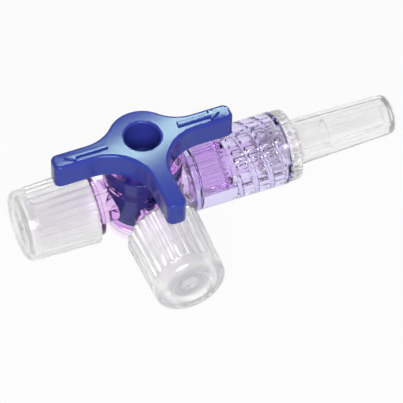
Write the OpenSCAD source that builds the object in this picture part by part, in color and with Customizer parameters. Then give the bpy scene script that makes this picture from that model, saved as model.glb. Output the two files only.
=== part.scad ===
// Three way stopcock, lying on its flat foot with every cap on.
// A clear housing holds a blue tap whose plug has a T of passages through it. Two female
// ports are closed by screw caps, and the male arm carries a spinning lock collar and a
// protective cap.
// The origin is on the tap's axis at the foot. +X runs out along the male arm, the side
// port points to -Y and +Z is up.

/* [Tap] */
// Radius of the plug
plug_r = 3.7; // [3:0.05:4.6]
// Running gap between the plug and the housing
plug_gap = 0.03; // [0.01:0.01:0.05]
// Depth of the plug below the port axis
plug_drop = 3.3; // [2.7:0.1:4]
// Height of the handle's underside over the port axis
handle_lift = 8.1; // [7.6:0.1:10]
// Radius of the fluid passages
passage_r = 1.1; // [0.8:0.05:1.4]
// Reach of each arm from the tap's axis
arm_reach = 14; // [11.5:0.5:18]
// Width of an arm
arm_w = 3; // [2.3:0.05:3.5]
// Thickness of the handle
handle_t = 4.2; // [3.4:0.1:5.2]
// Radius of the hub's round back
hub_r = 5.15; // [4.6:0.05:6.2]
// Radius of the blend between the hub's back and a side arm
back_fillet_r = 6; // [4:0.5:6]
// Radius of the hollow between the front arm and a side arm
front_fillet_r = 6.7; // [5:0.1:8]
// Radius at the corners of an arm's tip
tip_corner_r = 1.05; // [0.6:0.05:1.1]
// Radius at the handle's upper edges
top_round = 0.55; // [0.2:0.05:0.55]
// Radius at the handle's lower edges
low_round = 0.3; // [0.1:0.05:0.5]
// Height of the raised arrows on the side arms
arrow_h = 0.35; // [0.2:0.05:0.6]
// Distance from the tap's axis to an arrow's tail
arrow_start = 5.5; // [5:0.1:7]
// Distance from the tap's axis to an arrow's point
arrow_reach = 12.2; // [10:0.1:12.5]
// Width of an arrow's shaft
arrow_w = 0.8; // [0.5:0.05:1]
// Width over an arrow's barbs
arrow_head_w = 2; // [1.4:0.05:2.2]
// Length of an arrow's head
arrow_head_l = 1.7; // [1.2:0.1:2.5]
// Radius of the cored hole in the hub
core_r = 2.65; // [2:0.05:2.8]
// Depth of the cored hole
core_depth = 6; // [4.5:0.1:7]
// Width of the chamfer at the mouth of the cored hole
core_chamfer = 0.25; // [0.1:0.05:0.4]
// Height of the snap bead round the plug
bead_h = 0.15; // [0.1:0.01:0.25]

/* [Housing] */
// Wall of the barrel round the plug
barrel_wall = 1.72; // [1.4:0.02:2.4]
// Radius at the barrel's bottom edge
foot_round = 1.1; // [0.5:0.1:1.2]
// Radius of the recess under the foot
foot_recess_r = 3.1; // [2:0.1:3.4]
// Depth of the recess under the foot
foot_recess_depth = 0.7; // [0.3:0.05:1]
// Height of the rim under the handle
rim_h = 3.2; // [2:0.1:3.6]
// How far the rim stands out from the barrel
rim_w = 0.5; // [0.3:0.05:0.8]
// Gap between the rim and the handle
rim_gap = 0.25; // [0.15:0.05:0.5]
// Outer radius of a female port
port_r = 3.3; // [3:0.05:3.6]
// Distance from the tap's axis to the open end of a female port
port_reach = 18.3; // [17:0.1:22]
// Radius of the tapered socket at its open end
socket_r = 2.14; // [2:0.01:2.3]
// Depth of the tapered socket
socket_depth = 8; // [6:0.5:9]
// Radius over the two lugs of a port
lug_r = 3.9; // [3.7:0.05:4]
// Width of a lug
lug_w = 3.2; // [2.4:0.1:4]
// Thickness of a lug along its port
lug_t = 1.3; // [0.9:0.05:1.8]
// Radius of the ring round a port's neck
ring_r = 4.8; // [4.2:0.05:5.2]
// Thickness of that ring
ring_t = 0.7; // [0.5:0.05:1]

/* [Male arm] */
// Radius of the neck that the collar spins on
neck_r = 2.6; // [2.4:0.05:3]
// Length of the neck outside the barrel
neck_l = 2.55; // [2.4:0.05:4]
// Radius of the fluted boss
boss_r = 3.95; // [3.4:0.05:4.4]
// Length of the fluted boss
boss_l = 5; // [4:0.5:7]
// Number of flutes round the boss
flute_count = 36; // [16:1:36]
// Depth of a flute
flute_depth = 0.12; // [0.08:0.01:0.2]
// Radius of the tapered tip at its end
cone_r = 1.97; // [1.8:0.01:2.05]
// Length of the tapered tip
cone_l = 11.3; // [9:0.1:13]
// Radius of the passage in the male arm
arm_passage_r = 1.1; // [0.8:0.05:1.2]

/* [Caps] */
// Outer radius of a screw cap at its open end
cap_r = 5.8; // [5.4:0.05:6.6]
// Outer radius of a screw cap at its closed end
cap_end_r = 5.4; // [5.2:0.05:6.4]
// Radius inside a screw cap
cap_bore_r = 4.1; // [4.05:0.05:4.4]
// Length of a screw cap
cap_l = 11.2; // [8:0.1:12]
// Thickness of a screw cap's closed end
cap_end_t = 1.1; // [1:0.1:2]
// Radius of the edge round the closed end
cap_round = 1; // [0.3:0.05:1.2]
// Number of grip grooves round a screw cap
groove_count = 30; // [16:1:34]
// Radius of a grip groove
groove_r = 0.5; // [0.35:0.01:0.55]
// Depth of a grip groove
groove_depth = 0.22; // [0.1:0.01:0.3]
// Smooth length between the grooves and the closed end
groove_margin = 1.8; // [1.2:0.1:2.5]
// Radius of the dished centre of the closed end
dish_r = 3.2; // [2:0.1:4]
// Depth of the dished centre
dish_depth = 0.5; // [0.2:0.05:0.7]
// Radius of the gate mark in the middle of the dish
gate_r = 0.7; // [0.4:0.05:1]
// Depth of the gate mark
gate_depth = 0.25; // [0.1:0.05:0.4]
// Length of the hollow spigot that closes a port
spigot_l = 4; // [2.5:0.1:5.5]
// Wall of the hollow spigot
spigot_wall = 0.7; // [0.5:0.05:1]

/* [Lock collar] */
// Outer radius of the collar at its back
collar_back_r = 5.6; // [5.2:0.05:6]
// Outer radius of the collar at its mouth
collar_mouth_r = 5.7; // [5.3:0.05:6.6]
// Length of the collar
collar_l = 15.8; // [13.5:0.1:17]
// Thickness of the collar's back wall
collar_back_t = 1.5; // [1:0.1:2]
// Radius at the collar's back edge
collar_round = 0.6; // [0.3:0.05:0.9]
// Width of the chamfer inside the collar's mouth
collar_chamfer = 0.3; // [0.1:0.05:0.5]

/* [Protective cap] */
// Radius of the flange against the collar's mouth
flange_r = 5.55; // [5:0.05:6.5]
// Thickness of the flange
flange_t = 1.7; // [1.5:0.1:2.6]
// Width of the chamfer at the flange's edges
flange_edge = 0.35; // [0.2:0.05:0.6]
// Radius of the skirt inside the collar
skirt_r = 3.3; // [3:0.05:3.4]
// Length of the skirt inside the collar
skirt_l = 3.7; // [2.5:0.1:5]
// Radius of the tube at the flange
tube_root_r = 3.55; // [3.2:0.05:4]
// Radius of the tube at its closed end
tube_end_r = 3.1; // [2.7:0.05:3.4]
// Length of the tube beyond the flange
tube_l = 16.8; // [13:0.1:20]
// Radius of the edge round the tube's closed end
tube_round = 0.8; // [0.4:0.05:1.2]
// Radius of the blend between flange and tube
flange_fillet_r = 1.1; // [0.5:0.05:1.4]
// Length of the wide bore over the tapered tip
wide_bore_l = 7.4; // [6:0.1:13]
// Radius of the narrow bore beyond it
narrow_bore_r = 1.7; // [1.3:0.05:1.9]
// Number of low ribs along the tube
rib_count = 8; // [4:1:10]
// Width of a rib
rib_w = 0.7; // [0.4:0.05:1]
// Height of a rib over the tube's closed end
rib_h = 0.12; // [0.06:0.02:0.2]
// Number of nicks round the flange
nick_count = 36; // [18:1:40]
// Radius of a nick
nick_r = 0.3; // [0.2:0.01:0.35]
// Depth of a nick
nick_depth = 0.1; // [0.05:0.01:0.15]

/* [Hidden] */
$fn = 64;
// Every cut runs past the surface that it starts from by this much
over = 0.5;
// Radius lost along each millimetre of a standard six per cent taper
taper_share = 0.03;
// Gaps that let one piece turn, slide or seat on another
spin_gap = 0.06;
seat_gap = 0.3;
face_gap = 0.1;
taper_gap = 0.05;

// Heights
port_z = cap_r;
floor_z = port_z - plug_drop - spin_gap;
handle_z = port_z + handle_lift;
rim_top_z = handle_z - rim_gap;
rim_low_z = rim_top_z - rim_h;
bead_z = port_z - (plug_drop + passage_r) / 2;

// Radii and places that follow the plug
bore_r = plug_r + plug_gap;
barrel_r = bore_r + barrel_wall;
rim_r = barrel_r + rim_w;
bead_r = 2 * bead_h;
bead_x = plug_r - bead_r + bead_h;
plug_edge = bead_h;

// Places along the female ports
cap_end = port_reach + seat_gap + cap_end_t;
cap_start = cap_end - cap_l;
ring_start = cap_start - seat_gap - ring_t;
spigot_root_r = socket_r - taper_gap;

// Lean of a screw cap's wall, and its radius where the rounded edge begins
cap_lean = atan((cap_r - cap_end_r) / cap_l);
cap_edge_r = cap_end_r + (cap_r - cap_end_r) * cap_round / cap_l;

// Places along the male arm
shoulder = barrel_r + neck_l;
boss_end = shoulder + boss_l;
cone_end = boss_end + cone_l;
collar_start = shoulder - face_gap - collar_back_t;
collar_end = collar_start + collar_l;
collar_bore_r = boss_r + face_gap;
flute_r = 2 * flute_depth;
boss_rim = 2 * flute_r;
wide_bore_r = cone_r + taper_share * (cone_l - (collar_end - skirt_l - boss_end)) + taper_gap;
wide_bore_in = wide_bore_l + skirt_l;

// Points on an arc of radius r round c, from angle a to angle b in the given number of steps
function arc(c, r, a, b, steps) =
    [for (i = [0:steps]) c + r * [cos(a + (b - a) * i / steps), sin(a + (b - a) * i / steps)]];

// Half of the handle's outline on the +X side, from the front arm's tip round to the hub's back,
// moved in by the given distance
function handle_half(inset) =
    let (
        half_w = arm_w / 2,
        tip_in = half_w - tip_corner_r,
        tip_out = arm_reach - tip_corner_r,
        hollow = half_w + front_fillet_r,
        blend_y = half_w + back_fillet_r,
        blend_x = sqrt(pow(hub_r + back_fillet_r, 2) - pow(blend_y, 2)),
        blend_a = atan2(blend_y, blend_x)
    )
    concat(
        arc([tip_in, -tip_out], tip_corner_r - inset, -90, 0, 6),
        arc([hollow, -hollow], front_fillet_r + inset, 180, 90, 18),
        arc([tip_out, -tip_in], tip_corner_r - inset, -90, 0, 6),
        arc([tip_out, tip_in], tip_corner_r - inset, 0, 90, 6),
        arc([blend_x, blend_y], back_fillet_r + inset, 270, 180 + blend_a, 10),
        arc([0, 0], hub_r - inset, blend_a, 90, 10)
    );

function mirrored(points) =
    [for (i = [len(points) - 2:-1:0]) [-points[i][0], points[i][1]]];

// Turns a child made along +Z to lie along +X or -Y at the height of the ports
module along_x() {
    translate([0, 0, port_z]) rotate([0, 90, 0]) children();
}

module along_minus_x() {
    translate([0, 0, port_z]) rotate([0, -90, 0]) children();
}

module along_minus_y() {
    translate([0, 0, port_z]) rotate([90, 0, 0]) children();
}

module ring_of(count) {
    for (i = [0:count - 1]) {
        rotate([0, 0, 360 * i / count]) children();
    }
}

// A straight groove with a round end, cut from below z = 0 up to the given length
module round_groove(r, length) {
    translate([0, 0, -over]) cylinder(r = r, h = length + over - r);
    translate([0, 0, length - r]) sphere(r = r);
}

// Barrel with its rounded bottom edge and the rim that the handle turns over
module barrel() {
    rotate_extrude() {
        polygon(concat(
            [[0, 0]],
            arc([barrel_r - foot_round, foot_round], foot_round, -90, 0, 6),
            [[barrel_r, rim_low_z - rim_w], [rim_r, rim_low_z], [rim_r, rim_top_z], [0, rim_top_z]]
        ));
    }
}

// One female port along +Z, from the tap's axis to its open end
module female_port() {
    cylinder(r = port_r, h = port_reach);
    translate([0, 0, ring_start]) cylinder(r = ring_r, h = ring_t);
    translate([0, 0, port_reach - lug_t]) {
        intersection() {
            cylinder(r = lug_r, h = lug_t);
            translate([-lug_r, -lug_w / 2, 0]) cube([2 * lug_r, lug_w, lug_t]);
        }
    }
}

// Passage and tapered socket inside a female port
module female_bore() {
    cylinder(r = passage_r, h = port_reach);
    translate([0, 0, port_reach - socket_depth]) {
        cylinder(r1 = socket_r - taper_share * socket_depth, r2 = socket_r, h = socket_depth);
    }
    translate([0, 0, port_reach]) cylinder(r = socket_r, h = over);
}

// Neck, fluted boss and tapered tip along +Z
module male_arm() {
    cylinder(r = neck_r, h = boss_end);
    difference() {
        translate([0, 0, shoulder]) cylinder(r = boss_r, h = boss_l);
        translate([0, 0, shoulder]) {
            ring_of(flute_count) {
                translate([boss_r + flute_r - flute_depth, 0, 0]) round_groove(flute_r, boss_l - boss_rim);
            }
        }
    }
    translate([0, 0, boss_end]) {
        cylinder(r1 = cone_r + taper_share * cone_l, r2 = cone_r, h = cone_l);
    }
}

module housing() {
    color([0.86, 0.80, 0.96, 0.6]) {
        difference() {
            union() {
                barrel();
                along_minus_x() female_port();
                along_minus_y() female_port();
                along_x() male_arm();
            }
            translate([0, 0, floor_z]) cylinder(r = bore_r, h = rim_top_z - floor_z + over);
            translate([0, 0, -over]) cylinder(r = foot_recess_r, h = foot_recess_depth + over);
            translate([0, 0, bead_z]) {
                rotate_extrude() translate([bead_x, 0]) circle(r = bead_r + plug_gap);
            }
            along_minus_x() female_bore();
            along_minus_y() female_bore();
            along_x() cylinder(r = arm_passage_r, h = cone_end + over);
        }
    }
}

// Pairs of inset and height up the handle's side, round its lower and its upper edge
function handle_side() =
    concat(
        arc([low_round, low_round], low_round, 270, 180, 3),
        arc([top_round, handle_t - top_round], top_round, 180, 90, 4)
    );

// Three armed handle with rounded edges, its underside at z = 0
module handle() {
    side = handle_side();
    outlines = [for (s = side) concat(handle_half(s[0]), mirrored(handle_half(s[0])))];
    n = len(outlines[0]);
    top = len(side) - 1;
    points = concat(
        [for (k = [0:top]) for (p = outlines[k]) [p[0], p[1], side[k][1]]],
        [[0, 0, 0], [0, 0, handle_t]]
    );
    walls = [for (k = [0:top - 1]) for (i = [0:n - 1]) let (j = (i + 1) % n)
        [k * n + i, (k + 1) * n + i, (k + 1) * n + j, k * n + j]];
    underside = [for (i = [0:n - 1]) [len(points) - 2, i, (i + 1) % n]];
    upper_side = [for (i = [0:n - 1]) [len(points) - 1, top * n + (i + 1) % n, top * n + i]];
    polyhedron(points, concat(walls, underside, upper_side));
}

// Arrow along +X, from its tail to its point
module arrow() {
    neck = arrow_reach - arrow_head_l;
    side = [[arrow_start, arrow_w / 2], [neck, arrow_w / 2], [neck, arrow_head_w / 2]];
    linear_extrude(height = arrow_h + over) {
        polygon(concat(side, [[arrow_reach, 0]], [for (i = [2:-1:0]) [side[i][0], -side[i][1]]]));
    }
}

// Plug and three armed handle, moulded as one
module tap() {
    color([0.19, 0.22, 0.65]) {
        difference() {
            union() {
                translate([0, 0, handle_z]) handle();
                translate([0, 0, handle_z + handle_t - over]) {
                    arrow();
                    mirror([1, 0, 0]) arrow();
                }
                translate([0, 0, floor_z + spin_gap]) {
                    cylinder(r1 = plug_r - plug_edge, r2 = plug_r, h = plug_edge);
                    translate([0, 0, plug_edge]) cylinder(r = plug_r, h = plug_drop + handle_lift - plug_edge);
                }
                translate([0, 0, bead_z]) {
                    rotate_extrude() translate([bead_x, 0]) circle(r = bead_r);
                }
            }
            translate([0, 0, handle_z + handle_t - core_depth]) cylinder(r = core_r, h = core_depth + over);
            translate([0, 0, handle_z + handle_t - core_chamfer]) {
                cylinder(r1 = core_r, r2 = core_r + core_chamfer + over, h = core_chamfer + over);
            }
            translate([-barrel_r, 0, port_z]) rotate([0, 90, 0]) cylinder(r = passage_r, h = 2 * barrel_r);
            along_minus_y() cylinder(r = passage_r, h = barrel_r);
        }
    }
}

// A screw cap along +Z, with its open end at z = 0
module screw_cap() {
    difference() {
        rotate_extrude() {
            polygon(concat(
                [[0, 0], [cap_r, 0]],
                arc([cap_edge_r - cap_round / cos(cap_lean), cap_l - cap_round], cap_round, cap_lean, 90, 6),
                [[dish_r, cap_l], [dish_r - dish_depth, cap_l - dish_depth], [0, cap_l - dish_depth]]
            ));
        }
        translate([0, 0, cap_l - dish_depth - gate_depth]) cylinder(r = gate_r, h = gate_depth + over);
        translate([0, 0, -over]) cylinder(r = cap_bore_r, h = cap_l - cap_end_t + over);
        ring_of(groove_count) {
            translate([cap_r + groove_r - groove_depth, 0, 0]) {
                rotate([0, -cap_lean, 0]) round_groove(groove_r, cap_l - groove_margin);
            }
        }
    }
    translate([0, 0, cap_l - cap_end_t - spigot_l]) {
        difference() {
            cylinder(
                r1 = spigot_root_r - taper_share * spigot_l,
                r2 = spigot_root_r,
                h = spigot_l + cap_end_t - dish_depth - gate_depth
            );
            translate([0, 0, -over]) cylinder(r = spigot_root_r - spigot_wall, h = spigot_l + over);
        }
    }
}

module inlet_cap() {
    color([0.93, 0.93, 0.93, 0.8]) along_minus_x() translate([0, 0, cap_start]) screw_cap();
}

module side_cap() {
    color([0.93, 0.93, 0.93, 0.8]) along_minus_y() translate([0, 0, cap_start]) screw_cap();
}

// Collar that locks a mating connector on, caught behind the boss
module lock_collar() {
    color([0.88, 0.86, 0.97, 0.5]) {
        along_x() translate([0, 0, collar_start]) {
            difference() {
                rotate_extrude() {
                    polygon(concat(
                        [[0, 0]],
                        arc([collar_back_r - collar_round, collar_round], collar_round, -90, 0, 6),
                        [[collar_mouth_r, collar_l], [0, collar_l]]
                    ));
                }
                translate([0, 0, -over]) cylinder(r = neck_r + spin_gap, h = collar_back_t + 2 * over);
                translate([0, 0, collar_back_t]) cylinder(r = collar_bore_r, h = collar_l);
                translate([0, 0, collar_l - collar_chamfer]) {
                    cylinder(r1 = collar_bore_r, r2 = collar_bore_r + collar_chamfer + over, h = collar_chamfer + over);
                }
            }
        }
    }
}

// Low ribs that follow the tube's taper and stop at its rounded end
module tube_ribs() {
    intersection() {
        translate([0, 0, flange_t]) {
            cylinder(r1 = tube_root_r + rib_h, r2 = tube_end_r + rib_h, h = tube_l - tube_round);
        }
        ring_of(rib_count) {
            translate([0, -rib_w / 2, 0]) cube([flange_r, rib_w, flange_t + tube_l]);
        }
    }
}

// Protective cap, a closed tube that slips over the tapered tip
module tip_cap() {
    color([0.92, 0.92, 0.92, 0.8]) {
        along_x() translate([0, 0, collar_end + face_gap]) {
            difference() {
                union() {
                    translate([0, 0, -skirt_l]) cylinder(r = skirt_r, h = skirt_l);
                    rotate_extrude() {
                        polygon(concat(
                            [[0, 0], [flange_r - flange_edge, 0], [flange_r, flange_edge]],
                            [[flange_r, flange_t - flange_edge], [flange_r - flange_edge, flange_t]],
                            arc(
                                [tube_root_r + flange_fillet_r, flange_t + flange_fillet_r],
                                flange_fillet_r, 270, 180, 6
                            ),
                            arc(
                                [tube_end_r - tube_round, flange_t + tube_l - tube_round],
                                tube_round, 0, 90, 6
                            ),
                            [[0, flange_t + tube_l]]
                        ));
                    }
                    tube_ribs();
                }
                translate([0, 0, -skirt_l - over]) cylinder(r = wide_bore_r, h = wide_bore_in + over);
                translate([0, 0, -skirt_l]) {
                    cylinder(r = narrow_bore_r, h = skirt_l + flange_t + tube_l - tube_round);
                }
                ring_of(nick_count) {
                    translate([flange_r + nick_r - nick_depth, 0, -over]) {
                        cylinder(r = nick_r, h = flange_t + 2 * over);
                    }
                }
            }
        }
    }
}

housing();
tap();
inlet_cap();
side_cap();
lock_collar();
tip_cap();
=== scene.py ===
import math

import bmesh
import bpy
from mathutils import Matrix, Vector


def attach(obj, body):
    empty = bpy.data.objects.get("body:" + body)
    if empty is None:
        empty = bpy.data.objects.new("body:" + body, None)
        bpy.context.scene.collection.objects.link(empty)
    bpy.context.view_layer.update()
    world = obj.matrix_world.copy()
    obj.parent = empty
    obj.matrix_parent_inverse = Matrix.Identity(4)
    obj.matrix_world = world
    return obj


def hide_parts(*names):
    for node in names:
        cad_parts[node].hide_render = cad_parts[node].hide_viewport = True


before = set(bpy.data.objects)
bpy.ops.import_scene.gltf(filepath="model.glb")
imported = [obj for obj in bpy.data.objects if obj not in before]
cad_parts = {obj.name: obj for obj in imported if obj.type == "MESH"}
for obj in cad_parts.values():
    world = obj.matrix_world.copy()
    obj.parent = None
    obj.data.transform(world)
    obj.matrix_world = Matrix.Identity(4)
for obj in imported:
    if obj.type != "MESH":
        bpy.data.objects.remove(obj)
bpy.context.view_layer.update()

# Sizes in millimetres, as in the part's source. A piece is modelled in millimetres and is
# brought to metres when it is finished.
MM = 0.001
WELD = 1e-4  # points nearer than this are merged
OVER = 0.5  # a cut runs past the surface that it starts from

# tap
PLUG_R, PLUG_LOW, PLUG_EDGE = 3.7, 2.5, 0.15
BEAD_Z, BEAD_R, BEAD_X = 3.6, 0.3, 3.55
HANDLE_Z, HANDLE_T = 13.9, 4.2
HANDLE_TOP = HANDLE_Z + HANDLE_T
ARM_REACH, ARM_HALF, TIP_R = 14.0, 1.5, 1.05
HUB_R, BACK_R, FRONT_R = 5.15, 6.0, 6.7
TOP_ROUND, LOW_ROUND = 0.55, 0.3
CORE_R, CORE_DEPTH, CORE_LIP = 2.65, 6.0, 0.4
ARROW_START, ARROW_REACH, ARROW_HALF = 5.5, 12.2, 0.4
ARROW_HEAD, ARROW_HEAD_HALF, ARROW_H, ARROW_ROUND = 1.7, 1.0, 0.35, 0.14
PASSAGE_R = 1.1

# housing
WETTED = 0.01  # the bore's oiled face closes on the plug by this much, so no air gap shows
PORT_Z, BORE_R, BORE_FLOOR, BORE_EDGE, BARREL_R = 5.8, PLUG_R - WETTED, 2.44, 0.15, 5.9
FOOT_R, RECESS_R, RECESS_DEPTH = 0.45, 3.1, 0.7
RIM_R, RIM_LOW, RIM_TOP = 5.95, 11, 13.65
LEDGE_LOW, LEDGE_STEP, LEDGE_W, LEDGE_EDGE = 9.75, 0.28, 0.32, 0.05  # two, under the rim
PORT_R, PORT_REACH, PORT_EDGE = 3.3, 18.3, 0.2
SOCKET_R, SOCKET_DEPTH, TAPER = 2.14, 8.0, 0.03
LUG_R, LUG_W, LUG_T = 3.9, 3.2, 1.3
RING_R, RING_START, RING_T = 4.8, 7.5, 0.7
NECK_R, SHOULDER, BOSS_R, BOSS_L = 2.6, 8.0, 3.95, 5.0
FLUTES, FLUTE_R, FLUTE_DEPTH = 36, 0.24, 0.12
FLUTE_STEPS = (-2 * FLUTE_R, -FLUTE_R, -0.15, -0.08, 0, 0.1)  # rings near a flute's end
CONE_R, CONE_L = 1.97, 11.3

# screw caps
CAP_START, CAP_R, CAP_END_R, CAP_BORE, CAP_L, CAP_END = 8.5, 5.8, 5.4, 4.1, 11.2, 1.1
CAP_ROUND, DISH_R, DISH_DEPTH, GATE_R, GATE_DEPTH = 1.0, 3.2, 0.5, 0.7, 0.25
GROOVES, GROOVE_R, GROOVE_DEPTH, GROOVE_L = 30, 0.5, 0.22, 9.4
GROOVE_RINGS, GROOVE_STEPS = (0.8, 3.5, 6.5), (0, 0.15, 0.27, 0.36, 0.44, 0.52, 0.7)
SPIGOT_L, SPIGOT_TIP_R, SPIGOT_ROOT_R, SPIGOT_BORE = 4.0, 1.97, 2.09, 1.39
CAP_CREST, CAP_THREAD_FROM, CAP_THREAD_TO = 3.95, 1.0, 8.2

# lock collar
COLLAR_START, COLLAR_L, COLLAR_BORE, COLLAR_HOLE = 6.4, 15.8, 4.05, 2.66
COLLAR_BACK_R, COLLAR_MOUTH_R, COLLAR_BACK = 5.6, 5.7, 1.5
THREAD_LEAD, THREAD_CREST, THREAD_FROM, THREAD_TO = 5.0, 3.7, 7.3, 14.9
SPLINES, SPLINE_DEPTH = 24, 0.25

# thread ridges, in the collar and in the screw caps
RIDGE_HEIGHTS = (0.78, 0.85, 1.07, 1.14)  # up one side, from the foot to the crest
RIDGE_EDGE = 0.05  # depth of the small edges at foot and crest
THREAD_GAP = 0.2  # the bore is open this much past each end of the thread
NEAR = 0.01  # points this near a height or a surface count as on it

# protective cap
TIP_START, FLANGE_R, FLANGE_T, FLANGE_EDGE = 22.3, 5.55, 1.7, 0.35
SKIRT_R, SKIRT_L, WIDE_R, WIDE_END, NARROW_R = 3.3, 3.7, 2.194, 7.4, 1.7
TUBE_ROOT_R, TUBE_END_R, TUBE_L, TUBE_ROUND, FLANGE_FILLET = 3.55, 3.1, 16.8, 0.8, 1.1
RIBS, RIB_W, RIB_H, RIB_END, RIB_FADE = 8, 0.7, 0.12, 17.35, 0.4
RIB_RINGS = (8, 13, 16, 16.6, 16.9, 17.1, 17.3, 17.5)
NICKS, NICK_R, NICK_DEPTH = 36, 0.3, 0.1


# ---------------------------------------------------------------- camera

CAMERA_AZIMUTH, CAMERA_ELEVATION, CAMERA_ROLL = map(math.radians, (-24.076, 51.206, 1.894))
CAMERA_AIM = Vector((7.333, -5.463, PORT_Z)) * MM
CAMERA_DISTANCE = 368.981 * MM
IMAGE_WIDTH, FOCAL_PIXELS, SENSOR = 403, 2476.4, 36.0


def add_camera():
    back = Vector((
        math.sin(CAMERA_AZIMUTH) * math.cos(CAMERA_ELEVATION),
        -math.cos(CAMERA_AZIMUTH) * math.cos(CAMERA_ELEVATION),
        math.sin(CAMERA_ELEVATION),
    ))
    level = Vector((0, 0, 1)).cross(back).normalized()
    upright = back.cross(level)
    right = level * math.cos(CAMERA_ROLL) + upright * math.sin(CAMERA_ROLL)
    up = upright * math.cos(CAMERA_ROLL) - level * math.sin(CAMERA_ROLL)
    camera = bpy.data.objects.new("camera", bpy.data.cameras.new("camera"))
    bpy.context.scene.collection.objects.link(camera)
    camera.data.sensor_width = SENSOR
    camera.data.lens = FOCAL_PIXELS * SENSOR / IMAGE_WIDTH
    camera.data.clip_start, camera.data.clip_end = 0.01, 10
    turn = Matrix((right, up, back)).transposed().to_4x4()
    camera.matrix_world = Matrix.Translation(CAMERA_AIM + back * CAMERA_DISTANCE) @ turn
    bpy.context.scene.camera = camera


# ---------------------------------------------------------------- modelling

def only(piece):
    """Selects one piece and makes it the active one."""
    bpy.ops.object.select_all(action="DESELECT")
    piece.select_set(True)
    bpy.context.view_layer.objects.active = piece


def pick(piece, kind, wanted):
    """In edit mode, selects the points, edges or faces for which wanted is true."""
    bpy.ops.mesh.select_mode(type=kind)
    bpy.ops.mesh.select_all(action="DESELECT")
    mesh = bmesh.from_edit_mesh(piece.data)
    for part in {"VERT": mesh.verts, "EDGE": mesh.edges, "FACE": mesh.faces}[kind]:
        if wanted(part):
            part.select_set(True)
    mesh.select_flush_mode()
    bmesh.update_edit_mesh(piece.data)


def radius(co):
    return math.hypot(co.x, co.y)


def start(name, at):
    """A plane merged to the one point from which an outline is drawn, left in edit mode."""
    bpy.ops.object.select_all(action="DESELECT")
    bpy.ops.mesh.primitive_plane_add(size=1)
    piece = bpy.context.object
    piece.name = name
    bpy.ops.object.mode_set(mode="EDIT")
    bpy.ops.mesh.select_mode(type="VERT")
    bpy.ops.mesh.select_all(action="SELECT")
    bpy.ops.mesh.merge(type="CENTER")
    bpy.ops.transform.translate(value=at)
    return piece


def draw(points):
    """Extrudes the selected point along the given places."""
    for a, b in zip(points, points[1:]):
        bpy.ops.mesh.extrude_region_move(TRANSFORM_OT_translate={"value": b - a})


def tidy_mesh():
    bpy.ops.mesh.select_all(action="SELECT")
    bpy.ops.mesh.remove_doubles(threshold=WELD)
    bpy.ops.mesh.normals_make_consistent(inside=False)


def arc(cx, cy, r, first, last, steps):
    return [
        (cx + r * math.cos(a), cy + r * math.sin(a))
        for a in (math.radians(first + (last - first) * i / steps) for i in range(steps + 1))
    ]


def rounded(corners, steps=4):
    """An outline whose corners, given as (r, h, radius), become arcs."""
    outline = []
    for i, corner in enumerate(corners):
        here = Vector(corner[:2])
        if len(corner) == 2:
            outline.append(tuple(here))
            continue
        u = (Vector(corners[i - 1][:2]) - here).normalized()
        v = (Vector(corners[i + 1][:2]) - here).normalized()
        half = math.acos(max(-1.0, min(1.0, u.dot(v)))) / 2
        centre = here + (u + v).normalized() * corner[2] / math.sin(half)
        a, b = (here + w * corner[2] / math.tan(half) - centre for w in (u, v))
        first = math.degrees(math.atan2(a.y, a.x))
        sweep = (math.degrees(math.atan2(b.y, b.x)) - first + 180) % 360 - 180
        outline += arc(centre.x, centre.y, corner[2], first, first + sweep, steps)
    return outline


def turned(name, outline, steps, sector=360.0):
    """Spins an outline of (radius, height) round Z, left in edit mode."""
    points = [Vector((r, 0, h)) for r, h in outline]
    piece = start(name, points[0])
    draw(points)
    bpy.ops.mesh.select_all(action="SELECT")
    bpy.ops.mesh.spin(steps=steps, angle=math.radians(sector), center=(0, 0, 0), axis=(0, 0, 1))
    tidy_mesh()
    return piece


def press(piece, new_radius):
    """In edit mode, moves points to or from the Z axis. Points that move alike move together."""
    mesh = bmesh.from_edit_mesh(piece.data)
    alike = {}
    for point in mesh.verts:
        r = radius(point.co)
        if r > WELD:
            share = round(new_radius(math.atan2(point.co.y, point.co.x), r, point.co.z) / r, 5)
            if share != 1:
                alike.setdefault(share, set()).add(point.index)
    for share, places in alike.items():
        pick(piece, "VERT", lambda point: point.index in places)
        bpy.ops.transform.resize(value=(share, share, 1), center_override=(0, 0, 0))


def repeat(count):
    """In edit mode, copies one sector round the Z axis until the turn is full."""
    bpy.ops.mesh.select_all(action="SELECT")
    bpy.ops.mesh.spin(
        steps=count - 1, dupli=True, angle=2 * math.pi * (count - 1) / count,
        center=(0, 0, 0), axis=(0, 0, 1),
    )
    tidy_mesh()


def off_middle(angle, count):
    """Angle from the middle line of the nearest of so many equal sectors."""
    return abs(angle % (2 * math.pi / count) - math.pi / count)


def scoop(across, past, r, depth):
    """Depth of a round groove at a distance from its middle line, and past its last full place."""
    inside = r * r - across * across - max(0.0, past) ** 2
    return max(0.0, math.sqrt(inside) - (r - depth)) if inside > 0 else 0.0


def shift(height):
    """In edit mode, moves the whole piece along the Z axis."""
    bpy.ops.mesh.select_all(action="SELECT")
    bpy.ops.transform.translate(value=(0, 0, height))


def lie(piece, turn=(0, 0, 0), place=(0, 0, 0)):
    """Leaves edit mode, then turns and places the piece for good."""
    bpy.ops.object.mode_set(mode="OBJECT")
    only(piece)
    piece.rotation_euler = [math.radians(a) for a in turn]
    piece.location = place
    bpy.ops.object.transform_apply(location=True, rotation=True, scale=True)
    return piece


def carve(piece, tool, how):
    """Joins a tool piece to a piece, or cuts it out."""
    only(piece)
    step = piece.modifiers.new(how.lower(), "BOOLEAN")
    step.object, step.operation, step.solver = tool, how, "EXACT"
    bpy.ops.object.modifier_apply(modifier=step.name)
    bpy.data.objects.remove(tool)


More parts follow.
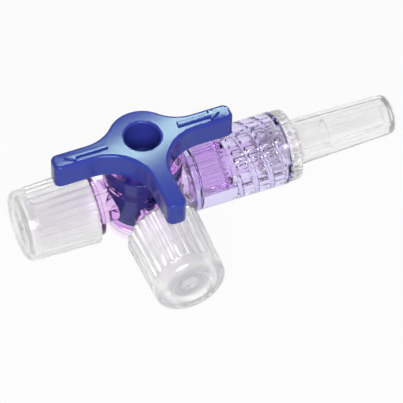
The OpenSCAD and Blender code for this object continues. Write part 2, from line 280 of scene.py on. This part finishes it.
def to_metres(piece, name, smooth_angle=35):
    only(piece)
    bpy.ops.object.mode_set(mode="EDIT")
    tidy_mesh()
    bpy.ops.object.mode_set(mode="OBJECT")
    piece.name = piece.data.name = name
    piece.scale = (MM, MM, MM)
    bpy.ops.object.transform_apply(location=True, rotation=True, scale=True)
    bpy.ops.object.shade_smooth_by_angle(angle=math.radians(smooth_angle))
    step = piece.modifiers.new("even_light", "WEIGHTED_NORMAL")
    step.keep_sharp = True
    bpy.ops.object.modifier_apply(modifier=step.name)
    return piece


def stands_for(piece, node, finish):
    piece.data.materials.clear()
    piece.data.materials.append(finish)
    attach(piece, node)
    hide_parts(node)


ALONG_X, ALONG_MINUS_X, ALONG_MINUS_Y = (0, 90, 0), (0, -90, 0), (90, 0, 0)
AT_PORTS = (0, 0, PORT_Z)


# ---------------------------------------------------------------- tap

def handle_outline():
    """The handle's outline, from the front arm's tip round the back and home again."""
    tip_in, tip_out = ARM_HALF - TIP_R, ARM_REACH - TIP_R
    hollow = ARM_HALF + FRONT_R
    blend_y = ARM_HALF + BACK_R
    blend_x = math.sqrt((HUB_R + BACK_R) ** 2 - blend_y ** 2)
    blend = math.degrees(math.atan2(blend_y, blend_x))
    half = (
        arc(tip_in, -tip_out, TIP_R, -90, 0, 10)
        + arc(hollow, -hollow, FRONT_R, 180, 90, 32)
        + arc(tip_out, -tip_in, TIP_R, -90, 0, 10)
        + arc(tip_out, tip_in, TIP_R, 0, 90, 10)
        + arc(blend_x, blend_y, BACK_R, 270, 180 + blend, 16)
        + arc(0, 0, HUB_R, blend, 90, 16)
    )
    return half + [(-x, y) for x, y in half[-2::-1]]


def plate(name, outline, low, high):
    """A flat plate with the given outline, left in edit mode."""
    points = [Vector((x, y, low)) for x, y in outline]
    piece = start(name, points[0])
    draw(points)
    bpy.ops.mesh.select_all(action="SELECT")
    bpy.ops.mesh.edge_face_add()
    bpy.ops.mesh.select_all(action="SELECT")
    bpy.ops.mesh.extrude_region_move(TRANSFORM_OT_translate={"value": (0, 0, high - low)})
    tidy_mesh()
    return piece


def round_level(piece, height, r, segments):
    """In edit mode, rounds the sharp edges that lie at one height."""
    def sharp(edge):
        level = all(abs(point.co.z - height) < WELD for point in edge.verts)
        return level and len(edge.link_faces) == 2 and edge.calc_face_angle(0) > 0.5
    pick(piece, "EDGE", sharp)
    bpy.ops.mesh.bevel(offset=r, segments=segments, affect="EDGES")


def make_arrow(turn):
    neck = ARROW_REACH - ARROW_HEAD
    side = [(ARROW_START, ARROW_HALF), (neck, ARROW_HALF), (neck, ARROW_HEAD_HALF)]
    outline = side + [(ARROW_REACH, 0)] + [(x, -y) for x, y in side[::-1]]
    arrow = plate("arrow", outline, HANDLE_TOP - OVER, HANDLE_TOP + ARROW_H)
    round_level(arrow, HANDLE_TOP + ARROW_H, ARROW_ROUND, 3)
    return lie(arrow, turn=(0, 0, turn))


def make_tap():
    tap = plate("tap", handle_outline(), HANDLE_Z, HANDLE_TOP)
    round_level(tap, HANDLE_TOP, TOP_ROUND, 6)
    round_level(tap, HANDLE_Z, LOW_ROUND, 4)
    lie(tap)
    bead = arc(BEAD_X, BEAD_Z, BEAD_R, -60, 60, 8)
    plug = turned("plug", [
        (0, PLUG_LOW), (PLUG_R - PLUG_EDGE, PLUG_LOW), (PLUG_R, PLUG_LOW + PLUG_EDGE),
        *bead, (PLUG_R, HANDLE_Z + 1), (0, HANDLE_Z + 1),
    ], 96)
    carve(tap, lie(plug), "UNION")
    for turn in (0, 180):
        carve(tap, make_arrow(turn), "UNION")
    floor, lip = HANDLE_TOP - CORE_DEPTH, CORE_R + CORE_LIP
    core = turned("core", [
        *rounded([(0, floor), (CORE_R, floor, CORE_LIP), (CORE_R, HANDLE_TOP - 0.6)]),
        *arc(lip, HANDLE_TOP - CORE_LIP, CORE_LIP, 180, 90, 6),
        (lip, HANDLE_TOP + OVER), (0, HANDLE_TOP + OVER),
    ], 96)
    carve(tap, lie(core), "DIFFERENCE")
    for turn, place in ((ALONG_X, (-BARREL_R, 0, PORT_Z)), (ALONG_MINUS_Y, AT_PORTS)):
        reach = 2 * BARREL_R if turn == ALONG_X else BARREL_R
        drill = turned("drill", [(0, 0), (PASSAGE_R, 0), (PASSAGE_R, reach), (0, reach)], 48)
        carve(tap, lie(drill, turn, place), "DIFFERENCE")
    return to_metres(tap, "tap_handle_and_plug")


# ---------------------------------------------------------------- housing

def make_barrel():
    ledge_r, groove_r, ledge_top = BARREL_R - LEDGE_W, BARREL_R - 2 * LEDGE_W, LEDGE_LOW + LEDGE_STEP
    return lie(turned("barrel", rounded([
        (0, RECESS_DEPTH), (RECESS_R, RECESS_DEPTH, 0.2), (RECESS_R, 0, 0.2), (BARREL_R, 0, FOOT_R),
        (BARREL_R, LEDGE_LOW, LEDGE_EDGE), (ledge_r, LEDGE_LOW, LEDGE_EDGE),
        (ledge_r, ledge_top, LEDGE_EDGE), (groove_r, ledge_top, LEDGE_EDGE),
        (groove_r, RIM_LOW - 0.3, 0.1), (RIM_R, RIM_LOW, 0.1), (RIM_R, RIM_TOP, 0.3), (0, RIM_TOP),
    ], 6), 128))


def make_port(turn):
    """Outer form of a female port with its ring and lugs."""
    port = turned("port", rounded([
        (0, 0), (PORT_R, 0), (PORT_R, RING_START, PORT_EDGE), (RING_R, RING_START, PORT_EDGE),
        (RING_R, RING_START + RING_T, PORT_EDGE), (PORT_R, RING_START + RING_T, PORT_EDGE),
        (PORT_R, PORT_REACH - LUG_T), (PORT_R, PORT_REACH - LUG_T / 2),
        (PORT_R, PORT_REACH - PORT_EDGE), (PORT_R - PORT_EDGE, PORT_REACH), (0, PORT_REACH),
    ]), 96)
    lug_angle = math.asin(LUG_W / 2 / LUG_R)

    def under_lug(face):
        centre = face.calc_center_median()
        beside = abs(math.atan2(centre.y, abs(centre.x)))
        outside = PORT_REACH - LUG_T < centre.z < PORT_REACH - PORT_EDGE and radius(centre) > 3
        return outside and beside < lug_angle
    pick(port, "FACE", under_lug)
    bpy.ops.mesh.extrude_region_move(TRANSFORM_OT_translate={"value": (0, 0, 0)})
    grow = LUG_R / PORT_R
    bpy.ops.transform.resize(value=(grow, grow, 1), center_override=(0, 0, 0))
    bpy.ops.mesh.normals_make_consistent(inside=False)
    return lie(port, turn, AT_PORTS)


def make_male_arm():
    """Neck, fluted boss and tapered tip, one flute's sector spun and repeated."""
    boss_end = SHOULDER + BOSS_L
    flute_end, tip = boss_end - 2 * FLUTE_R, boss_end + CONE_L
    arm = turned("male_arm", rounded([
        (0, 0), (NECK_R, 0), (NECK_R, SHOULDER, 0.15), (BOSS_R, SHOULDER, 0.12),
        *[(BOSS_R, flute_end + step) for step in FLUTE_STEPS], (BOSS_R, boss_end, 0.2),
        (CONE_R + TAPER * CONE_L, boss_end, 0.3), (CONE_R, tip, 0.15), (0, tip),
    ]), 6, 360 / FLUTES)

    def fluted(angle, r, h):
        if r < BOSS_R - 0.15 or not SHOULDER - 0.1 < h < boss_end:
            return r
        across = BOSS_R * off_middle(angle, FLUTES)
        return r - scoop(across, h - (flute_end - FLUTE_R), FLUTE_R, FLUTE_DEPTH)
    press(arm, fluted)
    repeat(FLUTES)
    return lie(arm, ALONG_X, AT_PORTS)


def make_housing():
    housing = make_barrel()
    for turn in (ALONG_MINUS_X, ALONG_MINUS_Y):
        carve(housing, make_port(turn), "UNION")
    carve(housing, make_male_arm(), "UNION")
    groove = arc(BEAD_X, BEAD_Z, BEAD_R - WETTED, -60, 60, 8)
    mouth = BORE_R + BORE_EDGE
    bore = turned("bore", [
        *rounded([(0, BORE_FLOOR), (BORE_R, BORE_FLOOR, 0.12), (BORE_R, BEAD_Z - 0.4)])[:-1],
        *groove, (BORE_R, RIM_TOP - BORE_EDGE), (mouth, RIM_TOP),
        (mouth, RIM_TOP + OVER), (0, RIM_TOP + OVER),
    ], 128)
    carve(housing, lie(bore), "DIFFERENCE")
    bottom, outside = PORT_REACH - SOCKET_DEPTH, PORT_REACH + OVER
    for turn in (ALONG_MINUS_X, ALONG_MINUS_Y):
        socket = turned("socket", rounded([
            (0, 0), (PASSAGE_R, 0), (PASSAGE_R, bottom, 0.1),
            (SOCKET_R - TAPER * SOCKET_DEPTH, bottom, 0.2),
            (SOCKET_R + TAPER * OVER, outside), (0, outside),
        ]), 64)
        carve(housing, lie(socket, turn, AT_PORTS), "DIFFERENCE")
    reach = SHOULDER + BOSS_L + CONE_L + OVER
    passage = turned("passage", [(0, 0), (PASSAGE_R, 0), (PASSAGE_R, reach), (0, reach)], 64)
    carve(housing, lie(passage, ALONG_X, AT_PORTS), "DIFFERENCE")
    return to_metres(housing, "clear_housing_body")


# ---------------------------------------------------------------- caps and collar

def wound_thread(bore, crest, first, last, steps):
    """A two start thread for a bore, wound by a screw and cut flat at both ends, left in edit mode.
    It starts one lead too low, so that its lowest turn is full."""
    pitch = THREAD_LEAD / 2
    side = list(zip((bore, bore - RIDGE_EDGE, crest + RIDGE_EDGE, crest), RIDGE_HEIGHTS))
    ridge = [(bore, 0.0), *side, *[(r, pitch - h) for r, h in side[::-1]]]
    outline = ridge + [(r, h + pitch) for r, h in ridge] + [(bore, 2 * pitch)]
    points = [Vector((r, 0, h - THREAD_LEAD)) for r, h in outline]
    thread = start("thread", points[0])
    draw(points)
    bpy.ops.object.mode_set(mode="OBJECT")
    only(thread)
    wind = thread.modifiers.new("wind", "SCREW")
    wind.axis, wind.angle, wind.screw_offset, wind.iterations = "Z", 2 * math.pi, THREAD_LEAD, 4
    wind.steps = wind.render_steps = steps
    wind.use_merge_vertices = True
    bpy.ops.object.modifier_apply(modifier=wind.name)
    bpy.ops.object.mode_set(mode="EDIT")
    bpy.ops.mesh.select_all(action="SELECT")
    bpy.ops.mesh.remove_doubles(threshold=WELD)
    bpy.ops.mesh.select_all(action="SELECT")
    bpy.ops.mesh.bisect(plane_co=(0, 0, first), plane_no=(0, 0, 1), clear_inner=True)
    bpy.ops.mesh.select_all(action="SELECT")
    bpy.ops.mesh.bisect(plane_co=(0, 0, last), plane_no=(0, 0, 1), clear_outer=True)
    return thread


def fit_thread(piece, thread, first, last):
    """Joins a thread to the two open edges of a bore, left in edit mode."""
    bpy.ops.object.mode_set(mode="OBJECT")
    only(piece)
    thread.select_set(True)
    bpy.ops.object.join()
    bpy.ops.object.mode_set(mode="EDIT")
    reach = THREAD_GAP + 0.1
    for low, high in ((first - reach, first + NEAR), (last - NEAR, last + reach)):
        def open_end(edge):
            return edge.is_boundary and all(low < point.co.z < high for point in edge.verts)
        pick(piece, "EDGE", open_end)
        bpy.ops.mesh.bridge_edge_loops()
    tidy_mesh()


def make_screw_cap(name, turn):
    """Grooved screw cap with its hollow spigot, one groove's sector spun and repeated."""
    ceiling, dish = CAP_L - CAP_END, CAP_L - DISH_DEPTH
    spigot_end, gate = ceiling - SPIGOT_L, dish - GATE_DEPTH
    open_low, open_high = CAP_THREAD_FROM - THREAD_GAP, CAP_THREAD_TO + THREAD_GAP
    full = GROOVE_L - GROOVE_R
    levels = [*GROOVE_RINGS, *[full + step for step in GROOVE_STEPS]]

    def wall(h):
        return CAP_R - (CAP_R - CAP_END_R) * h / CAP_L
    cap = turned(name, rounded([
        (0, ceiling), (SPIGOT_BORE, ceiling, 0.2), (SPIGOT_BORE, spigot_end, 0.12),
        (SPIGOT_TIP_R, spigot_end, 0.2), (SPIGOT_ROOT_R, ceiling, 0.25), (CAP_BORE, ceiling, 0.4),
        (CAP_BORE, open_high), (CAP_BORE, open_low), (CAP_BORE, 0, 0.25), (CAP_R, 0, 0.25),
        *[(wall(h), h) for h in levels], (CAP_END_R, CAP_L, CAP_ROUND),
        (DISH_R, CAP_L, 0.3), (DISH_R - DISH_DEPTH, dish, 0.4),
        (GATE_R, dish, 0.1), (GATE_R - 0.1, gate, 0.1), (0, gate),
    ], 5), 8, 360 / GROOVES)

    def grooved(angle, r, h):
        if r < wall(h) - 0.3 or h > GROOVE_L:
            return r
        return r - scoop(wall(h) * off_middle(angle, GROOVES), h - full, GROOVE_R, GROOVE_DEPTH)
    press(cap, grooved)
    repeat(GROOVES)

    def threaded(face):
        centre = face.calc_center_median()
        return open_low < centre.z < open_high and abs(radius(centre) - CAP_BORE) < 2 * NEAR
    pick(cap, "FACE", threaded)
    bpy.ops.mesh.delete(type="FACE")
    bpy.ops.object.mode_set(mode="OBJECT")
    thread = wound_thread(CAP_BORE, CAP_CREST, CAP_THREAD_FROM, CAP_THREAD_TO, 8 * GROOVES)
    fit_thread(cap, thread, CAP_THREAD_FROM, CAP_THREAD_TO)
    shift(CAP_START)
    lie(cap, turn, AT_PORTS)
    return to_metres(cap, name)


def make_collar():
    """Collar whose open bore takes the thread, with splines between the thread's turns."""
    collar = turned("collar", rounded([
        (COLLAR_BORE, THREAD_FROM - THREAD_GAP), (COLLAR_BORE, COLLAR_BACK, 0.3),
        (COLLAR_HOLE, COLLAR_BACK, 0.15), (COLLAR_HOLE, 0, 0.15), (COLLAR_BACK_R, 0, 0.35),
        (COLLAR_MOUTH_R, COLLAR_L, 0.2), (COLLAR_BORE + 0.35, COLLAR_L, 0.1),
        (COLLAR_BORE, COLLAR_L - 0.4), (COLLAR_BORE, THREAD_TO + THREAD_GAP),
    ], 5), 6 * SPLINES)
    bpy.ops.object.mode_set(mode="OBJECT")
    thread = wound_thread(COLLAR_BORE, THREAD_CREST, THREAD_FROM, THREAD_TO, 6 * SPLINES)

    def splined(angle, r, h):
        low = r > COLLAR_BORE - 0.1 and off_middle(angle, SPLINES) < math.pi / 2 / SPLINES
        return r + SPLINE_DEPTH if low else r
    press(thread, splined)
    fit_thread(collar, thread, THREAD_FROM, THREAD_TO)
    shift(COLLAR_START)
    lie(collar, ALONG_X, AT_PORTS)
    return to_metres(collar, "spinning_lock_collar")


def make_tip_cap():
    """Protective cap: one quarter with two ribs and nine nicks, spun and repeated."""
    tube_start, end = FLANGE_T + FLANGE_FILLET, FLANGE_T + TUBE_L
    ceiling = end - TUBE_ROUND
    levels = [tube_start + 0.6, *RIB_RINGS]

    def tube_r(h):
        return TUBE_ROOT_R + (TUBE_END_R - TUBE_ROOT_R) * (h - FLANGE_T) / (TUBE_L - TUBE_ROUND)
    fillet = arc(TUBE_ROOT_R + FLANGE_FILLET, tube_start, FLANGE_FILLET, 270, 180, 6)
    cap = turned("sheath", rounded([
        (0, ceiling), (NARROW_R, ceiling, 0.4), (NARROW_R, WIDE_END, 0.2), (WIDE_R, WIDE_END, 0.1),
        (WIDE_R, -SKIRT_L, 0.15), (SKIRT_R, -SKIRT_L, 0.2), (SKIRT_R, 0, 0.1),
        (FLANGE_R, 0, FLANGE_EDGE), (FLANGE_R, FLANGE_T, FLANGE_EDGE),
        *fillet, *[(tube_r(h), h) for h in levels],
        *arc(TUBE_END_R - TUBE_ROUND, ceiling, TUBE_ROUND, 0, 90, 6), (0, end),
    ], 4), 72, 90)

    def shaped(angle, r, h):
        if r > FLANGE_R - 0.4 and -NEAR < h < FLANGE_T + NEAR:
            return r - scoop(FLANGE_R * off_middle(angle, NICKS), 0, NICK_R, NICK_DEPTH)
        if tube_start < h < ceiling and r > 2.6:
            across = off_middle(angle, RIBS) * r / (RIB_W / 2)
            along = min(1.0, max(0.0, (RIB_END - h) / RIB_FADE))
            return r + RIB_H * math.sqrt(along) * max(0.0, 1 - across ** 4) ** 0.5
        return r
    press(cap, shaped)
    repeat(4)
    shift(TIP_START)
    lie(cap, ALONG_X, AT_PORTS)
    return to_metres(cap, "protective_tip_cap")


# ---------------------------------------------------------------- finishes

class Term:
    """A number in a material's nodes, so that sums of it are written as sums."""

    def __init__(self, finish, socket):
        self.finish, self.socket = finish, socket

    def join(self, how, a, b):
        node = self.finish.node("ShaderNodeMath", {"operation": how}, {0: a, 1: b})
        return Term(self.finish, node.outputs[0])

    def __add__(self, other):
        return self.join("ADD", self, other)

    def __radd__(self, other):
        return self.join("ADD", other, self)

    def __sub__(self, other):
        return self.join("SUBTRACT", self, other)

    def __rsub__(self, other):
        return self.join("SUBTRACT", other, self)

    def __mul__(self, other):
        return self.join("MULTIPLY", self, other)

    def __rmul__(self, other):
        return self.join("MULTIPLY", other, self)

    def __pow__(self, other):
        return self.join("POWER", self, other)


class Finish:
    """A material of one plastic, or of the stage or the world."""

    def __init__(self, owner):
        self.owner = owner
        owner.use_nodes = True
        self.tree = owner.node_tree
        self.tree.nodes.clear()

    def node(self, kind, settings=None, values=None):
        made = self.tree.nodes.new(kind)
        for name, value in (settings or {}).items():
            setattr(made, name, value)
        for name, value in (values or {}).items():
            if isinstance(value, Term):
                self.tree.links.new(value.socket, made.inputs[name])
            elif isinstance(value, bpy.types.NodeSocket):
                self.tree.links.new(value, made.inputs[name])
            else:
                made.inputs[name].default_value = value
        return made

    def noise(self, scale, detail=2.0, stretch=(1, 1, 1)):
        place = self.node("ShaderNodeTexCoord").outputs["Object"]
        spread = self.node("ShaderNodeMapping", {}, {"Vector": place, "Scale": stretch})
        made = self.node("ShaderNodeTexNoise", {}, {
            "Vector": spread.outputs[0], "Scale": scale, "Detail": detail,
        })
        return Term(self, made.outputs["Fac"])

    def between(self, share, first, second):
        """A colour that runs from the first to the second."""
        ends = {6: (*first, 1), 7: (*second, 1)}
        return self.node("ShaderNodeMix", {"data_type": "RGBA"}, {0: share, **ends}).outputs[2]

    def bump(self, height, strength, depth):
        made = self.node("ShaderNodeBump", {}, {
            "Height": height, "Strength": strength, "Distance": depth,
        })
        return made.outputs[0]


def blue_plastic():
    """Deep blue polyethylene, glossy, with faint clouds from the mould."""
    finish = Finish(bpy.data.materials.new("blue_tap_plastic"))
    cloud, grain = finish.noise(160, 3), finish.noise(1500, 3)
    shader = finish.node("ShaderNodeBsdfPrincipled", {}, {
        "Base Color": finish.between(cloud, (0.024, 0.032, 0.24), (0.034, 0.046, 0.31)),
        "Roughness": 0.1 + 0.05 * cloud + 0.02 * grain,
        "IOR": 1.5, "Specular IOR Level": 0.25, "Specular Tint": (0.6, 1.0, 0.75, 1),
        "Normal": finish.bump(grain, 0.06, 0.00002),
    })
    finish.node("ShaderNodeOutputMaterial", {}, {"Surface": shader.outputs[0]})
    return finish.owner


def clear_plastic(name, ior, pale, deep, absorbed, density):
    """Clear polycarbonate with faint flow lines, its tint deeper where it is thick."""
    finish = Finish(bpy.data.materials.new(name))
    cloud, flow = finish.noise(220, 2), finish.noise(120, 3, (0.25, 1, 1))
    shader = finish.node("ShaderNodeBsdfPrincipled", {}, {
        "Base Color": finish.between(cloud, pale, deep),
        "Roughness": 0.02 + 0.05 * cloud ** 2,
        "IOR": ior, "Transmission Weight": 1.0, "Specular Tint": (0.5, 0.5, 0.5, 1),
        "Normal": finish.bump(flow, 0.012, 0.0001),
    })
    volume = finish.node("ShaderNodeVolumeAbsorption", {}, {
        "Color": (*absorbed, 1), "Density": density,
    })
    finish.node("ShaderNodeOutputMaterial", {}, {
        "Surface": shader.outputs[0], "Volume": volume.outputs[0],
    })
    return finish.owner


def milky_plastic(name, haze, passed):
    """Translucent white polypropylene, hazy inside and glossy outside."""
    finish = Finish(bpy.data.materials.new(name))
    cloud, grain = finish.noise(260, 3), finish.noise(2200, 2)
    shader = finish.node("ShaderNodeBsdfPrincipled", {}, {
        "Base Color": finish.between(cloud, (0.985, 0.985, 0.985), (1.0, 1.0, 1.0)),
        "Roughness": haze + 0.05 * cloud + 0.03 * grain,
        "IOR": 1.49, "Transmission Weight": passed, "Coat Weight": 0.8, "Coat Roughness": 0.03,
        "Normal": finish.bump(grain, 0.02, 0.00002),
    })
    finish.node("ShaderNodeOutputMaterial", {}, {"Surface": shader.outputs[0]})
    return finish.owner


# ---------------------------------------------------------------- stage

def seen_through(finish):
    """One for rays of the camera, of reflections and through clear pieces, otherwise zero."""
    path = finish.node("ShaderNodeLightPath")
    rays = Term(finish, path.outputs["Is Camera Ray"])
    for other in ("Is Glossy Ray", "Is Transmission Ray"):
        rays = rays + path.outputs[other]
    return rays


def add_floor():
    """A grey floor that looks white, mirrored too, and keeps a faint shadow."""
    bpy.ops.object.select_all(action="DESELECT")
    bpy.ops.mesh.primitive_plane_add(size=3)
    floor = bpy.context.object
    floor.name = "studio_floor"
    finish = Finish(bpy.data.materials.new("studio_floor"))
    diffuse = finish.node("ShaderNodeBsdfDiffuse", {}, {"Color": (0.5, 0.5, 0.5, 1)})
    white = finish.node("ShaderNodeEmission", {}, {"Color": (1, 1, 1, 1), "Strength": 1.0})
    mixed = finish.node("ShaderNodeMixShader", {}, {
        0: seen_through(finish) * 0.95, 1: diffuse.outputs[0], 2: white.outputs[0],
    })
    finish.node("ShaderNodeOutputMaterial", {}, {"Surface": mixed.outputs[0]})
    floor.data.materials.append(finish.owner)


def add_world():
    """A dim room, but white up to a height for what is seen, mirrored or passed by clear pieces."""
    world = bpy.data.worlds.new("studio")
    bpy.context.scene.world = world
    finish = Finish(world)
    direction = finish.node("ShaderNodeTexCoord").outputs["Generated"]
    height = finish.node("ShaderNodeSeparateXYZ", {}, {0: direction}).outputs[2]
    ramp = finish.node("ShaderNodeValToRGB", {}, {0: height})
    low, high = ramp.color_ramp.elements
    low.position, low.color = 0.35, (1, 1, 1, 1)
    high.position, high.color = 0.55, (0.25, 0.25, 0.25, 1)
    surround = finish.node("ShaderNodeBackground", {}, {"Color": ramp.outputs[0], "Strength": 1.0})
    room = finish.node("ShaderNodeBackground", {}, {"Color": (0.18, 0.18, 0.18, 1), "Strength": 1.0})
    mixed = finish.node("ShaderNodeMixShader", {}, {
        0: seen_through(finish), 1: room.outputs[0], 2: surround.outputs[0],
    })
    finish.node("ShaderNodeOutputWorld", {}, {"Surface": mixed.outputs[0]})


def add_softbox(name, place, toward, along, width, height, radiance, lit=()):
    """A rectangular lamp whose face looks towards a point, for everything or for some pieces."""
    lamp = bpy.data.lights.new(name, "AREA")
    lamp.shape, lamp.size, lamp.size_y = "RECTANGLE", width * MM, height * MM
    lamp.energy = radiance * math.pi * width * height * MM * MM
    softbox = bpy.data.objects.new(name, lamp)
    bpy.context.scene.collection.objects.link(softbox)
    out = (Vector(place) - Vector(toward)).normalized()
    side = (Vector(along) - Vector(along).project(out)).normalized()
    turn = Matrix((side, out.cross(side), out)).transposed().to_4x4()
    softbox.matrix_world = Matrix.Translation(Vector(place) * MM) @ turn
    softbox.visible_camera = False
    if lit:
        softbox.light_linking.receiver_collection = bpy.data.collections.new(name)
        for piece in lit:
            softbox.light_linking.receiver_collection.objects.link(piece)


def add_stage(shiny, milky):
    """Floor, world and lamps. The strip lies where the handle's top mirrors it to the camera, the
    front lamp lights everything, and the back lamp lies where the caps' ribs mirror it."""
    add_floor()
    add_world()
    mirror = Vector((0.2555, 0.572, 0.779))
    shine = Vector((5.5, 3, HANDLE_TOP))
    add_softbox(
        "strip_softbox", place=shine + mirror * 80, toward=shine, along=(1, 0.24, 0),
        width=70, height=4, radiance=43, lit=shiny,
    )
    add_softbox(
        "front_softbox", place=(-70, -190, 205), toward=(5, -5, 8), along=(1, 0, 0),
        width=160, height=120, radiance=16,
    )
    back = Vector((-0.3, 0.572, 0.763))
    add_softbox(
        "back_softbox", place=back * 200, toward=(0, 0, 0), along=(0.93, 0, 0.36),
        width=120, height=50, radiance=11, lit=milky,
    )


add_camera()
BLUE = blue_plastic()
HOUSING_CLEAR = clear_plastic(
    "clear_housing_plastic", ior=1.5, pale=(0.99, 0.975, 0.99), deep=(1.0, 0.99, 1.0),
    absorbed=(0.65, 0.11, 0.84), density=100,
)
COLLAR_CLEAR = clear_plastic(
    "clear_collar_plastic", ior=1.55, pale=(0.96, 0.95, 0.99), deep=(0.99, 0.98, 1.0),
    absorbed=(0.4, 0.28, 0.86), density=125,
)
CAP_WHITE = milky_plastic("hazy_screw_cap_plastic", haze=0.04, passed=0.71)
SHEATH_WHITE = milky_plastic("clear_tip_cap_plastic", haze=0.02, passed=0.8)
tap, housing, tip_cap = make_tap(), make_housing(), make_tip_cap()
inlet_cap = make_screw_cap("inlet_screw_cap", ALONG_MINUS_X)
side_cap = make_screw_cap("side_screw_cap", ALONG_MINUS_Y)
stands_for(tap, "tap", BLUE)
stands_for(housing, "housing", HOUSING_CLEAR)
stands_for(inlet_cap, "inlet_cap", CAP_WHITE)
stands_for(side_cap, "side_cap", CAP_WHITE)
stands_for(make_collar(), "lock_collar", COLLAR_CLEAR)
stands_for(tip_cap, "tip_cap", SHEATH_WHITE)
add_stage((tap, housing, inlet_cap, side_cap), (side_cap, tip_cap))

scene = bpy.context.scene
scene.view_settings.view_transform = "Standard"
scene.cycles.max_bounces = 24
scene.cycles.transmission_bounces = 24
scene.cycles.transparent_max_bounces = 16
